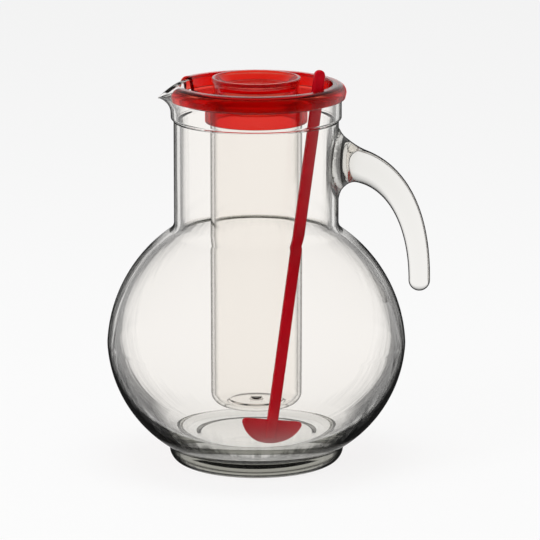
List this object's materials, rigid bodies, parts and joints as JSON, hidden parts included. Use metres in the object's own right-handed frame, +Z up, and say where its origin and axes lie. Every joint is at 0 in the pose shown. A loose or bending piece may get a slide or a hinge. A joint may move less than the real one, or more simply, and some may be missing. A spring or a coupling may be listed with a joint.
{
  "type": "pitcher with ice core",
  "caption": "Round-bowled glass pitcher with an open-ended side handle, a plastic lid that carries a closed ice tube down its axis, a cap over the tube and a long stirrer.",
  "frame": {"origin": "on the pitcher's axis, in the plane of the flat ring that it stands on", "axes": "+Z up along the axis, +X towards the handle, so the spout points along -X, +Y to the back as the picture sees it"},
  "size_m": [0.1844, 0.1706, 0.2291],
  "materials": {
    "glass": "clear, fire polished",
    "lid_red": "translucent, glossy",
    "tube_clear": "clear, glossy",
    "cap_red": "translucent, glossy",
    "stirrer_red": "glossy"
  },
  "bodies": {
    "jug": {"jug_foot": "glass", "jug_bowl": "glass", "jug_neck": "glass", "jug_handle": "glass"},
    "lid": {"lid": "lid_red"},
    "ice_tube": {"ice_tube": "tube_clear"},
    "tube_cap": {"tube_cap": "cap_red"},
    "stirrer": {"stirrer": "stirrer_red"}
  },
  "joints": [
    {"name": "lid_lift", "type": "slide", "parent": "jug", "child": "lid", "axis": [0, 0, 1], "range_m": [0, 0.21]},
    {"name": "cap_lift", "type": "slide", "parent": "lid", "child": "tube_cap", "axis": [0, 0, 1], "range_m": [0, 0.03]},
    {"name": "tube_release", "type": "slide", "parent": "lid", "child": "ice_tube", "axis": [0, 0, -1], "range_m": [0, 0.0125]},
    {"name": "stirrer_stroke", "type": "slide", "parent": "lid", "child": "stirrer", "axis": [0.1332, 0.1194, 0.9839], "range_m": [0, 0.055]}
  ]
}
